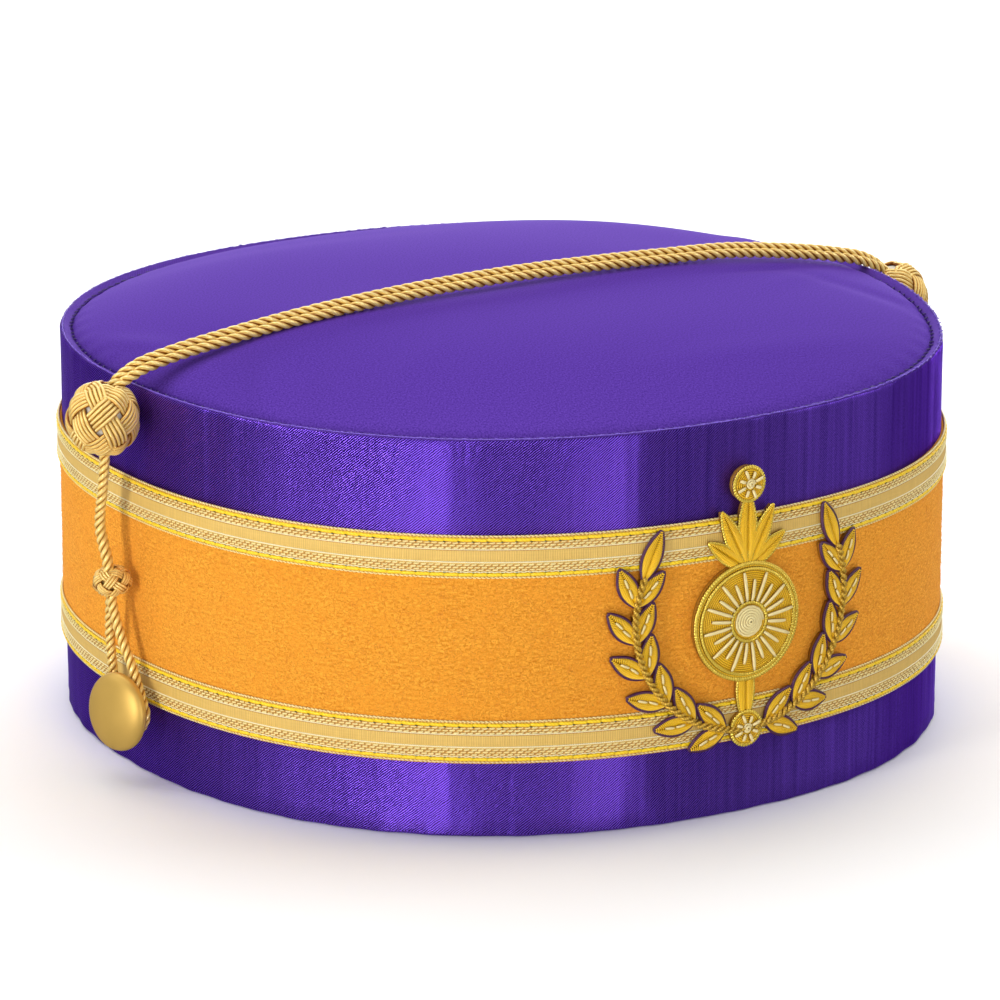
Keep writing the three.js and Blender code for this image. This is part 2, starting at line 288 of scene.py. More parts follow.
def plain(name, colour, roughness=0.6):
    """A thread or core too small to show a weave: its colour clouds a little."""
    s = Shade(name, roughness=roughness)
    where = s.node("TexCoord", output="Object")
    cloud = s.noise(where, 900.0, 3.0)
    return s.done(s.mix(cloud, [0.7 * c for c in colour], colour), cloud, 0.05)


# ---- mesh helpers


def unit(vectors):
    return vectors / np.linalg.norm(vectors, axis=-1, keepdims=True)


def along(path, closed=False):
    """The unit tangent at each point of a path."""
    if closed:
        return unit(np.roll(path, -1, 0) - np.roll(path, 1, 0))
    return unit(np.gradient(path, axis=0))


def lengths(path):
    """How far along the path each point is."""
    steps = np.linalg.norm(np.diff(path, axis=0), axis=1)
    return np.concatenate([[0], np.cumsum(steps)])


def at_lengths(path, where):
    """The points at those lengths along the path."""
    return np.stack([np.interp(where, lengths(path), path[:, k]) for k in range(3)], 1)


class Solid:
    """Gathers the grids of points that make one mesh, with weave coordinates at their corners."""

    def __init__(self):
        self.points = []
        self.faces = []
        self.weave = []
        self.total = 0

    def grid(self, points, weave, closed=False, caps=False):
        """Adds points[u, v], closed round v. weave is one longer where it closes on itself."""
        nu, nv = points.shape[:2]
        i, j = np.meshgrid(np.arange(nu - 1 + closed), np.arange(nv), indexing="ij")
        i, j = i.ravel(), j.ravel()
        corners = [(i, j), (i + 1, j), (i + 1, j + 1), (i, j + 1)]
        index = np.stack([(a % nu) * nv + (b % nv) for a, b in corners], 1) + self.total
        self.faces += index.tolist()
        self.weave.append(np.stack([weave[a, b] for a, b in corners], 1).reshape(-1, 3))
        if caps:
            ring = np.arange(nv)
            self.faces.append((self.total + ring).tolist())
            self.faces.append((self.total + (nu - 1) * nv + ring[::-1]).tolist())
            self.weave += [weave[0, ring], weave[-1, ring[::-1]]]
        self.points.append(points.reshape(-1, 3))
        self.total += nu * nv

    def tube(self, path, up, radius, sides, closed=False, tone=0.0, flat=1.0, caps=True):
        """A tube along a path. up points out of the surface under it; flat widens it sideways."""
        t = along(path, closed)
        up = np.broadcast_to(up, path.shape)
        up = unit(up - (up * t).sum(-1, keepdims=True) * t)
        side = np.cross(up, t)
        phi = np.arange(sides) / sides * TURN
        r = np.broadcast_to(radius, len(path))[:, None, None]
        ring = np.cos(phi)[:, None] * up[:, None] + flat * np.sin(phi)[:, None] * side[:, None]
        s = lengths(np.vstack([path, path[:1]]) if closed else path)
        weave = np.empty((len(s), sides + 1, 3))
        weave[..., 0] = s[:, None]
        weave[..., 1] = np.arange(sides + 1) / sides
        weave[..., 2] = tone
        self.grid(path[:, None] + r * ring, weave, closed, caps and not closed)

    def lathe(self, centre, axis, profile, sides):
        """Turns a profile of [radius, height] rows about an axis that it starts and ends near."""
        axis = unit(np.array(axis))
        up = unit(np.cross(axis, (0.3, 0.4, 0.8)))
        side = np.cross(up, axis)
        profile = np.array(profile)
        radius, height = profile.T
        phi = np.arange(sides) / sides * TURN
        ring = np.cos(phi)[:, None] * up + np.sin(phi)[:, None] * side
        points = np.array(centre) + height[:, None, None] * axis + radius[:, None, None] * ring
        weave = np.zeros((len(radius), sides + 1, 3))
        weave[..., 0] = np.arange(sides + 1) / sides * TURN
        weave[..., 1] = lengths(profile)[:, None]
        self.grid(points, weave, caps=True)

    def make(self, name, material, slot, *replaced):
        """The finished piece, riding on the cap, in place of the CAD nodes named."""
        mesh = bpy.data.meshes.new(name)
        mesh.from_pydata((np.concatenate(self.points) * MM).tolist(), [], self.faces)
        layer = mesh.attributes.new("weave", "FLOAT_VECTOR", "CORNER")
        layer.data.foreach_set("vector", np.concatenate(self.weave).astype(np.float32).ravel())
        mesh.shade_smooth()
        mesh.materials.append(material)
        piece = add(name, mesh)
        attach(piece, "root")
        if replaced:
            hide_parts(*replaced)
        return piece


def smooth_route(points, step):
    """Points `step` apart on the centripetal Catmull-Rom curve through the given ones."""
    given = np.array(points, float)
    ends = [2 * given[0] - given[1], 2 * given[-1] - given[-2]]
    p = np.vstack([ends[0], given, ends[1]])
    curve = []
    for i in range(1, len(p) - 2):
        knots = np.cumsum([0] + [np.linalg.norm(p[i + k] - p[i + k - 1]) ** 0.5 for k in range(3)])
        t = np.linspace(knots[1], knots[2], 24, endpoint=False)[:, None]

        def blend(a, b, low, high):
            return ((knots[high] - t) * a + (t - knots[low]) * b) / (knots[high] - knots[low])

        pairs = [blend(p[i + k - 1], p[i + k], k, k + 1) for k in range(3)]
        threes = [blend(pairs[k], pairs[k + 1], k, k + 2) for k in range(2)]
        curve.append(blend(*threes, 1, 2))
    curve = np.vstack(curve + [given[-1:]])
    long = lengths(curve)[-1]
    return at_lengths(curve, np.linspace(0, long, int(long / step) + 1))


def carried_frame(path, start):
    """A vector across the path at each point, carried along it from `start` without twisting."""
    t = along(path)
    up = np.array(start, float)
    ups = []
    for tangent in t:
        up = up - (up @ tangent) * tangent
        up /= np.linalg.norm(up)
        ups.append(up)
    return np.array(ups), np.cross(t, np.array(ups))


def twist(solid, path, out, side, radius, lay, plies, sides):
    """Lays plies round a path, one whole turn in each `lay`. out and side are across the path."""
    s = lengths(path)
    turns = np.cumsum(np.gradient(s) / lay)
    ply_radius = radius / (1 + 1 / sin(pi / plies))
    for k in range(plies):
        phi = ((turns + k / plies) * TURN)[:, None]
        away = np.cos(phi) * out + np.sin(phi) * side
        solid.tube(path + (radius - ply_radius) * away, away, ply_radius, sides, tone=k)


# ---- the oval

HALF_WIDTH = 96.3
HALF_DEPTH = 97.8
SQUARENESS = 2.2


def oval_radius(angle):
    """Distance from the middle to the wall's face, at an angle from the front towards +X."""
    across = np.abs(np.sin(angle) / HALF_WIDTH) ** SQUARENESS
    deep = np.abs(np.cos(angle) / HALF_DEPTH) ** SQUARENESS
    return (across + deep) ** (-1 / SQUARENESS)


def on_wall(angle, out, z):
    """Points `out` from the wall's face, as an array with a last axis of x, y and z."""
    angle, out, z = np.broadcast_arrays(angle, out, z)
    r = oval_radius(angle) + out
    return np.stack([r * np.sin(angle), -r * np.cos(angle), z], -1)


ANGLES = np.linspace(0, TURN, 4097)
ARC = lengths(on_wall(ANGLES, 0, 0))
GIRTH = ARC[-1]


def at_arc(s):
    """The angle of the place that is s along the wall from the front, towards +X."""
    return np.interp(np.mod(s, GIRTH), ARC, ANGLES)


def outward(angle):
    """The level unit vector out of the wall at an angle."""
    step = 1e-3
    t = on_wall(angle + step, 0, 0) - on_wall(angle - step, 0, 0)
    return unit(np.stack([t[..., 1], -t[..., 0], 0 * t[..., 0]], -1))


def lay_on_wall(solid, s, out, z, radius, sides, **look):
    """A tube along the wall, by way of lengths along it, distances out from it, and heights."""
    angle = at_arc(s)
    solid.tube(on_wall(angle, out, z), outward(angle), radius, sides, **look)


def all_round(step):
    """Lengths about `step` apart along the wall, all the way round."""
    count = int(GIRTH / step)
    return np.arange(count) * GIRTH / count


def band(section, count, relief, rise=0.0):
    """A closed band round the cap. section lists [out, z] corners, up the outside first.

    The weave's y is z plus `rise` up the outside, and runs on round the section.
    """
    s = np.linspace(0, GIRTH, count + 1)
    out, z = section.T
    out = out + relief(s[:-1, None], z, out)
    points = on_wall(at_arc(s[:-1])[:, None], out, z)
    run = lengths(np.vstack([section, section[:1]]))
    weave = np.zeros((count + 1, len(run), 3))
    weave[..., 0] = s[:, None]
    weave[..., 1] = run + z[0] + rise
    solid = Solid()
    solid.grid(points, weave, closed=True)
    return solid


def ripple(s, *waves):
    """A sum of waves round the cap, each (amplitude, whole number of waves, phase)."""
    return sum(a * np.sin(n * s / GIRTH * TURN + p) for a, n, p in waves)


rng = np.random.default_rng(11)


# ---- what each piece is made of

BRAID_WIDTH = 9.4

MATERIALS = {
    # Each satin's light and dark shades are its ribs' painted highlight and shade, as well as the
    # tones of its streaks and grain.
    "wall": satin("satin_wall", (0.006, 0.001, 0.1), (0.27, 0.11, 0.9), contrast=2.8, relief=0.07,
                  streaks=0.7, grains=0.8, metallic=0.9, roughness=0.36, anisotropic=0.9),
    "top": satin("satin_top", (0.04, 0.013, 0.18), (0.125, 0.052, 0.38), contrast=0.1, relief=0.03,
                 streaks=0.0, grains=2.4, metallic=0.6, roughness=0.6, anisotropic=0.0),
    "rim": satin("satin_rim", (0.045, 0.015, 0.17), (0.12, 0.052, 0.36), contrast=0.5, relief=0.03,
                 streaks=0.2, grains=1.2, metallic=0.5, roughness=0.55, anisotropic=0.0),
    "stitch": thread("purple_thread", (0.01, 0.004, 0.05), (0.06, 0.03, 0.2), 0.4),
    # partly painted highlight: the pale lilac of the thread along the rim's crest
    "edge": thread("lilac_thread_and_highlight", (0.1, 0.04, 0.42), (0.27, 0.14, 0.8), 0.4),
    "felt": felt("orange_felt"),
    "fuzz": plain("felt_fibre", (1.0, 0.42, 0.05), 0.9),
    "braid": lace_ground("lace_ground"),
    "lace": thread("cream_lurex", (0.86, 0.66, 0.22), (1.0, 0.92, 0.52), 0.35,
                   metallic=0.1, roughness=0.4, stripes=0.3),
    "line": thread("pale_lurex", (0.86, 0.76, 0.42), (1.0, 0.96, 0.7), 0.5,
                   roughness=0.4, stripes=0.3),
    "yellow": thread("yellow_thread", (0.8, 0.46, 0.0), (1.0, 0.74, 0.006), 0.8, twist=2.0),
    # painted shade: the near-black of the needle holes
    "hole": plain("needle_hole_shade", (0.045, 0.025, 0.01)),
    "cord": thread("gold_lurex", (0.76, 0.4, 0.055), (1.0, 0.76, 0.23), 2.4, twist=7, stripes=0.4,
                   wear=(0.9, 6.0, 0.6), flank_shade=(0.36, 0.11, 0.004), crest_highlight=CREST_HIGHLIGHT,
                   metallic=0.25, roughness=0.22),
    "gimp": thread("gold_gimp", (0.72, 0.35, 0.045), (1.0, 0.69, 0.19), 0.32, metallic=0.4,
                   roughness=0.22, stripes=0.3, flank_shade=(0.26, 0.07, 0.002), crest_highlight=CREST_HIGHLIGHT),
    "core": plain("cotton_core", (0.8, 0.72, 0.58), 0.8),
    "core_gold": plain("gold_core", (0.5, 0.28, 0.06)),
    "brass": brass("satin_brass"),
    "ground": plain("gold_ground", (0.42, 0.19, 0.006)),
    "satin": thread("gold_silk", (0.74, 0.37, 0.002), (1.0, 0.68, 0.01), 0.5,
                    roughness=0.5, flank_shade=(0.4, 0.16, 0.002)),
    "purl": thread("pearl_purl", (0.62, 0.34, 0.01), (1.0, 0.84, 0.14), 0.62, metallic=0.5,
                   roughness=0.26, flank_shade=(0.2, 0.08, 0.006)),
    "bullion": thread("cream_bullion", (0.82, 0.6, 0.18), (1.0, 0.93, 0.56), 0.24,
                      metallic=0.2, flank_shade=(0.4, 0.2, 0.02)),
    "twist": thread("gold_twist", (0.4, 0.2, 0.015), (0.95, 0.62, 0.08), 0.4, metallic=0.5),
    "purple": thread("purple_outline", (0.02, 0.002, 0.025), (0.11, 0.014, 0.09), 0.4),
}


# ---- satin wall and top

COLUMNS = {"wall": 420, "top": 384, "felt": 360, "braid": 600}  # points round the cap
WALL_HEIGHT = 87.4
WALL_THICKNESS = 2.2
# The wall's top edge, as [out, height over the rim]: a low roll, then a slope in to the top's seam.
RIM = [
    (0, -1.2), (-0.02, -0.6), (-0.14, -0.25), (-0.35, -0.06), (-0.6, 0), (-1.0, -0.08),
    (-1.5, -0.34), (-2.0, -0.64), (-2.35, -0.88), (-2.45, -1.1),
]
TOP_EDGE_OUT = -2.55
TOP_EDGE_Z = 86.5
TOP_RADIUS = 93
TOP_THICKNESS = 1.8
DOME_RISE = 10.4


def rolled(raised):
    """The rim's [out, z] corners, with its face raised by that much."""
    rim = np.array(RIM)
    t = along(rim)
    return rim + raised * np.stack([t[:, 1], -t[:, 0]], 1) + (0, WALL_HEIGHT)


def wall_relief(s, z, out):
    """The small waves of the wall's face, and the puckers at its hem and at its rim."""
    sway = ripple(s, (0.10, 17, 0.4), (0.07, 29, 2.0), (0.05, 47, 1.1), (0.03, 83, 0.2))
    hem = np.exp(-((z / 3.0) ** 2)) * ripple(s, (0.12, 61, 0.7), (0.1, 38, 2.2))
    near_rim = np.exp(-(((z - WALL_HEIGHT) / 3.0) ** 2))
    pucker = near_rim * ripple(s, (0.06, 192, 0.0), (0.08, 53, 1.0))
    return np.where(out > -2.4, sway * np.clip(z / 10, 0.2, 1) + hem + pucker, 0.0)


# Where the rim stands higher: at `turn` degrees from +X and `reach` to each side. The wall under it
# is stretched from `foot` up, over `blend` millimetres.
RIM_RISE = {"turn": -5, "reach": 25, "high": 2.4, "foot": 67, "blend": 20}


def lift_rim(solid):
    """Lifts the rim, and the top's edge with it, by the ear at +X."""
    for k, points in enumerate(solid.points):
        x, y, z = points.T
        turn = (np.degrees(np.arctan2(y, x)) - RIM_RISE["turn"]) / RIM_RISE["reach"]
        above = np.clip((z - RIM_RISE["foot"]) / RIM_RISE["blend"], 0, 1)
        share = np.clip(np.hypot(x, y) / HALF_WIDTH, 0, 1) ** 4 * above
        rise = RIM_RISE["high"] * np.exp(-(turn**2)) * share
        solid.points[k] = points + rise[:, None] * (0, 0, 1)


def make_wall():
    """The wall in one closed band, and the thin covering of its rim."""
    face = [[0, z] for z in np.linspace(0.5, WALL_HEIGHT - 2, 24)]
    inside = [[-WALL_THICKNESS, z] for z in np.linspace(82, 0.5, 12)]
    lip = [[-2.5, 85.5], [-2.5, 84.4]]
    section = np.array(face + rolled(0).tolist() + lip + inside + [[-1.8, 0], [-0.4, 0]])
    solid = band(section, COLUMNS["wall"], wall_relief)
    lift_rim(solid)
    solid.make("satin_wall", MATERIALS["wall"], "purple_satin", "crown_wall")

    covering = np.vstack([rolled(0.06)[2:], rolled(-0.2)[:1:-1]])
    rim = band(covering, COLUMNS["wall"], wall_relief)
    lift_rim(rim)
    rim.make("satin_rim", MATERIALS["rim"], "purple_satin")


# Soft wrinkles of the top: x, y, the way they run in degrees, how long, how wide and how high.
WRINKLES = [
    (-78, -30, 62, 16, 3.2, 0.55),
    (-70, -36, 55, 18, 3.5, -0.5),
    (-84, 14, 100, 14, 3.0, 0.4),
    (-58, -52, 40, 20, 5.0, 0.35),
    (76, -34, -60, 18, 4.0, -0.45),
    (82, 20, -105, 16, 3.5, 0.4),
    (20, -70, 4, 34, 6.0, 0.3),
    (70, 30, -62, 34, 15.0, 0.9),
    (-86, 1, 90, 16, 7.0, 0.8),
    (-10, 84, 4, 60, 14.0, -0.5),
    (62, -16, 12, 12, 2.2, -0.5),
    (66, -24, 30, 16, 3.2, 0.35),
    (-20, 66, -8, 40, 7.0, -0.35),
]


def top_height(x, y, share, s):
    """The top's height at x and y, at a share of the way out to its edge and s along that edge."""
    inside = (1 - share) * TOP_RADIUS
    z = TOP_EDGE_Z + DOME_RISE * (1 - share**3.4) + 1 - np.exp(-inside / 1.5)
    for at_x, at_y, degrees, long, wide, high in WRINKLES:
        turn = radians(degrees)
        dx, dy = x - at_x, y - at_y
        run = dx * cos(turn) + dy * sin(turn)
        across = dy * cos(turn) - dx * sin(turn)
        z = z + high * np.exp(-((run / long) ** 2) - (across / wide) ** 2)
    swell = np.sin(x / 17 + 0.6 * np.sin(y / 23)) * np.sin(y / 19 + 1)
    z = z + 0.3 * swell * np.clip(inside / 20, 0, 1)
    return z + np.exp(-((inside / 3.0) ** 2)) * ripple(s, (0.1, 192, 0.0), (0.12, 71, 0.5))


def make_top():
    shares = np.concatenate([np.linspace(0.004, 0.9, 44), np.linspace(0.91, 1, 16)])
    s = np.linspace(0, GIRTH, COLUMNS["top"] + 1)
    edge = on_wall(at_arc(s), TOP_EDGE_OUT, 0)
    x, y = (shares[:, None] * edge[:, k] for k in (0, 1))
    over = np.stack([x, y, top_height(x, y, shares[:, None], s)], -1)
    under = over[::-4] - (0, 0, TOP_THICKNESS)
    points = np.concatenate([over, under])
    weave = points.copy()
    weave[..., 2] = 0
    solid = Solid()
    solid.grid(points[:, :-1], weave, caps=True)
    lift_rim(solid)
    solid.make("satin_top", MATERIALS["top"], "purple_satin", "crown_top")


CREST_OUT = -0.45
SEAM_STITCHES = 190
RIM_FIBRES = 1100


def make_whip_stitches():
    """The hand stitches at the top's seam, and the frayed and hooked pale line along the rim's
    crest, whose pale lilac also stands in for the crest's highlight, so it is partly painted
    highlight.
    """
    dark, pale = Solid(), Solid()
    for k in range(SEAM_STITCHES):
        s = (k + rng.uniform(-0.12, 0.12)) * GIRTH / SEAM_STITCHES
        shown = 0.5 + 0.5 * sin(s / GIRTH * TURN + 0.5)
        slant = rng.uniform(0.7, 1.6)
        q = np.linspace(-1, 1, 6)
        angle = at_arc(s + slant * q * 0.5)
        seam = on_wall(angle, TOP_EDGE_OUT + 0.1 + 0.5 * q, 86.6 + 0.25 * np.sqrt(1 - 0.8 * q**2))
        dark.tube(seam, (0, 0, 1), 0.13, 5, tone=k)
        reach = rng.uniform(0.25, 0.4) * (0.3 + shown)
        arched = WALL_HEIGHT + 0.02 + 0.16 * np.sqrt(1 - 0.9 * q**2)
        hook = on_wall(angle, CREST_OUT + reach * q, arched)
        pale.tube(hook, (0, 0, 1), 0.06 + 0.06 * shown, 5, tone=k)
    # partly painted highlight: this pale thread along the crest also stands in for the crest's
    # highlight
    s = all_round(0.45)
    out = CREST_OUT + 0.06 * np.sin(s * 2.1) + rng.normal(0, 0.03, len(s))
    line = on_wall(at_arc(s), out, WALL_HEIGHT + 0.06 + rng.normal(0, 0.02, len(s)))
    pale.tube(line, (0, 0, 1), 0.12, 4, closed=True)
    for k in range(RIM_FIBRES):
        s = rng.uniform(0, GIRTH)
        q = np.array([0, 0.6, 1.2]) * rng.uniform(0.5, 1)
        angle = at_arc(s + q * rng.uniform(-1, 1))
        out = CREST_OUT + q * rng.uniform(-0.4, 0.4)
        path = on_wall(angle, out, WALL_HEIGHT + 0.1 + 0.25 * np.sin(q * 2))
        pale.tube(path, (0, 0, 1), 0.03, 3, tone=k % 13, caps=False)
    lift_rim(dark)
    lift_rim(pale)
    dark.make("seam_stitches", MATERIALS["stitch"], "purple_satin")
    pale.make("rim_edge_thread_and_highlight", MATERIALS["edge"], "purple_satin")


# ---- felt band

FELT = {"low": 16.5, "high": 66.6, "out": 0.66}
FUZZ = {"count": 6500, "low": 27, "high": 57}  # the fibres, and where they start between the braids


def make_felt():
    out, low, high = FELT["out"], FELT["low"], FELT["high"]
    face = [[out, z] for z in np.linspace(low + 0.3, high - 0.3, 42)]
    section = np.array([[out - 0.2, low]] + face + [[out - 0.2, high], [0.1, high], [0.1, low]])
    lumps = rng.normal(0, 0.03, (COLUMNS["felt"], len(section)))
    solid = band(section, COLUMNS["felt"], lambda s, z, out: np.where(out > 0.5, lumps, 0))
    solid.make("felt_pile", MATERIALS["felt"], "orange_felt", "felt_band")


def make_fuzz():
    """Loose fibres that lie on the felt and lift off it a little."""
    solid = Solid()
    for k in range(FUZZ["count"]):
        s, z = rng.uniform(0, GIRTH), rng.uniform(FUZZ["low"], FUZZ["high"])
        turn, long = rng.uniform(0, TURN), rng.uniform(0.6, 1.9)
        bend = rng.uniform(-0.6, 0.6)
        q = np.array([0, 0.5, 1.0])
        heading = turn + bend * q
        ds = np.cumsum(np.cos(heading)) * long / 2
        dz = np.cumsum(np.sin(heading)) * long / 2
        lift = FELT["out"] + rng.uniform(0.03, 0.2) * np.sin(q * pi) + 0.03
        lay_on_wall(solid, s + ds, lift, z + dz, 0.03, 3, tone=k % 17, caps=False)
    solid.make("felt_fuzz", MATERIALS["fuzz"], "orange_felt")


# ---- lace braids

LOWER_BRAID = 16.8
UPPER_BRAID = 57.6
BRAID_BACK = 0.76
STITCH = 3.0  # length of one machine stitch
STITCH_LINE = 0.92  # from each edge to the machine stitches
LACE_ROWS = (1.95, 2.5, 3.05)
LACE_EDGE = 0.2
DASH = 1.5  # from one loop of the lace to the next
PICOT = 0.95  # from one small loop of the lace's edge to the next
# The pale lines, as how far across the braid, the height of their waves and their radius.
LINES = ((1.48, 0.09, 0.13), (3.62, 0, 0.15), (BRAID_WIDTH - 3.0, 0, 0.12))


def braid_face(v):
    """How far out the braid's face is, at v across it."""
    return 0.95 + 0.25 * np.sin(np.pi * v / BRAID_WIDTH) ** 0.6


def make_braid_ground(name, low):
    """The woven strip, with its weave counted from the braid's lower edge."""
    face = [[braid_face(v), low + v] for v in np.linspace(0.12, BRAID_WIDTH - 0.12, 22)]
    back, high = BRAID_BACK, low + BRAID_WIDTH
    section = np.array([[back + 0.1, low]] + face + [[back + 0.1, high], [back, high], [back, low]])
    weft = rng.normal(0, 0.012, (COLUMNS["braid"], 1))
    ground = band(section, COLUMNS["braid"], lambda s, z, out: np.where(out > 0.93, weft, 0), -low)
    ground.make(f"{name}_braid_ground", MATERIALS["braid"], "gold_lace", f"{name}_braid")


def make_lace(name, low):
    """The raised yarns: straight and waved lines, the looped edges, and rows of small dashes."""
    cream, pale = Solid(), Solid()
    for v, wave, thick in LINES:
        s = all_round(0.4 if wave else 1.2)
        z = low + v + wave * np.sin(s * TURN / DASH)
        lay_on_wall(pale, s, braid_face(v) + 0.07, z, thick, 4, closed=True)
    for v, phase in ((LACE_EDGE, 0.0), (BRAID_WIDTH - LACE_EDGE, 1.0)):
        s = all_round(0.32)
        turn = s * TURN / PICOT + phase
        out = braid_face(LACE_EDGE) - 0.08 + 0.1 * np.sin(turn)
        lay_on_wall(cream, s, out, low + v + 0.1 * np.cos(turn), 0.2, 4, closed=True)
    rows = [*LACE_ROWS, *(BRAID_WIDTH - v + 0.35 for v in LACE_ROWS)]
    count = int(GIRTH / DASH)
    q = np.array([-0.5, 0, 0.5])
    for r, v in enumerate(rows):
        out = braid_face(v) + np.array([-0.08, 0.13, -0.08])
        for k in range(count):
            s = (k + 0.5 * (r % 2) + rng.uniform(-0.06, 0.06)) * GIRTH / count
            z = low + v + 0.12 * q + rng.uniform(-0.04, 0.04)
            thick = rng.uniform(0.15, 0.22)
            lay_on_wall(cream, s + q, out, z, thick, 4, tone=k + 7 * r, caps=False)
    cream.make(f"{name}_braid_lace", MATERIALS["lace"], "gold_lace")
    pale.make(f"{name}_braid_lines", MATERIALS["line"], "gold_lace")


def make_machine_stitches(name, low):
    """The yellow stitches that hold the braid down, each with a near-black dot at its needle hole
    as painted shade of the hole.
    """
    yellow, hole_shades = Solid(), Solid()
    count = int(GIRTH / STITCH)
    q = np.linspace(0.0, 1.0, 7)
    for v, side in ((STITCH_LINE, 1), (BRAID_WIDTH - STITCH_LINE, -1)):
        out = braid_face(v) - 0.05 + 0.16 * np.sin(q * pi) ** 0.45
        z = low + v + side * 0.1 * (q - 0.5)
        for k in range(count):
            s = k * GIRTH / count
            lay_on_wall(yellow, s + q * STITCH, out, z, 0.27, 6, tone=k, flat=1.5)
            # painted shade: a near-black dot stands in for the shade inside each needle hole
            spot = s + np.array([-0.3, 0.0, 0.3])
            at = braid_face(v) + 0.12, low + v + side * 0.42
            lay_on_wall(hole_shades, spot, *at, np.array([0.08, 0.16, 0.08]), 5)
    yellow.make(f"{name}_braid_stitching", MATERIALS["yellow"], "gold_lace")
    hole_shades.make(f"{name}_braid_hole_shades", MATERIALS["hole"], "gold_lace")


def make_braid(name, low):
    make_braid_ground(name, low)
    make_lace(name, low)
    make_machine_stitches(name, low)


# ---- cords

CORD_RADIUS = 1.18
# One turn of the plies where the cord hangs and over the top, and between which distances from the
# middle it changes.
LAY = {"tail": 5.4, "crown": 7.8, "change": (92, 101)}

# The routes of the CAD solids. First the loop round each shank, as [out from the ear's wall, y, z].
LOOPS = {
    "front": [
        (3.6, -8.5, 10.9), (3.4, -11.6, 11.7), (3.3, -14.1, 15.3), (3.6, -13, 19),
        (4.3, -10.6, 25), (5.5, -7.6, 32), (6.4, -5.7, 38.6),
    ],
    "back": [
        (3.6, -7.9, 10.9), (3.6, -4.8, 11.7), (3.9, -2.5, 15.5), (4.6, -1.9, 21.5),
        (5.3, -2.2, 28), (5.7, -2.9, 34.6), (5.7, -3.3, 39.6),
    ],
}
# Then up the ear: the middle of the two cords, measured alike, and from it to the front one.
EAR = [
    ((6.5, -4.2, 47.5), (0.54, -0.9, 0)),
    ((7.9, -3.4, 56.5), (0.54, -0.9, 0)),
    ((8, -5, 65), (0.54, -0.9, 0)),
    ((8, -6.5, 74), (0.52, -0.91, 0)),
    ((8.2, -6.6, 81.5), (0.4, -0.95, -0.18)),
    ((5.9, -6.6, 87.6), (0.26, -0.93, -0.4)),
    ((0.4, -6.6, 91.2), (0, -0.9, -0.55)),
]
# Then the arch over the crown, as [distance from the middle, height over the rim].
ARCH = [(88, 6), (74, 8.1), (58, 10), (40, 11.5), (20, 12.55), (0, 12.9)]
ARCH_Y = -6.6
ARCH_FRONT = (0, -0.9, -0.55)
PULLED_UP = {"x": 62, "reach": 22, "high": 1.0}  # where the arch sits higher on the right


def cord_route(which):
    """The points of a cord from the button at -X, over the crown, to the button at +X."""
    side = 1 if which == "front" else -1
    ear = [np.array(middle) + side * np.array(front) for middle, front in EAR]
    half = [np.array((-HALF_WIDTH - out, y, z)) for out, y, z in LOOPS[which] + ear]
    front = side * np.array(ARCH_FRONT)
    half += [np.array((-x, ARCH_Y, WALL_HEIGHT + up)) + front for x, up in ARCH]
    mirrored = [p * (-1, 1, 1) for p in half[-2::-1]]
    for p in mirrored[: len(ARCH) - 1]:
        p[2] += PULLED_UP["high"] * exp(-(((p[0] - PULLED_UP["x"]) / PULLED_UP["reach"]) ** 2))
    return half + mirrored


def make_cord(which):
    """One three-ply cord along its route."""
    path = smooth_route(cord_route(which), 0.4)
    out, side = carried_frame(path, (1, 0, 0))
    lay = np.interp(np.abs(path[:, 0]), LAY["change"], (LAY["crown"], LAY["tail"]))
    solid = Solid()
    twist(solid, path, out, side, CORD_RADIUS, lay, plies=3, sides=10)
    cord = solid.make(f"{which}_cord_rope", MATERIALS["cord"], "gold_cord", f"cord_{which}")
    line = path * MM
    line[0]
    float(lengths(line)[-1])
    line[::5]


# ---- woven knots

KNOT_LEADS = 5
KNOT_BIGHTS = 6
KNOTS = {
    "ball": {
        "strands": 5, "gauge": 0.475, "radius": 7.7, "half": 8.2, "lift": 0.55, "core": 6.75,
        "points": 540, "look": "core", "centre": (8.3, -6.6, 81.5), "axis": (-0.22, 0, 1),
    },
    "slide": {
        "strands": 3, "gauge": 0.37, "radius": 4.2, "half": 3.3, "lift": 0.35, "core": 3.2,
        "points": 420, "look": "core_gold", "centre": (5.7, -4.4, 44), "axis": (0.12, 0.05, 1),
    },
}


EARS = ((-1, "right"), (1, "left"))


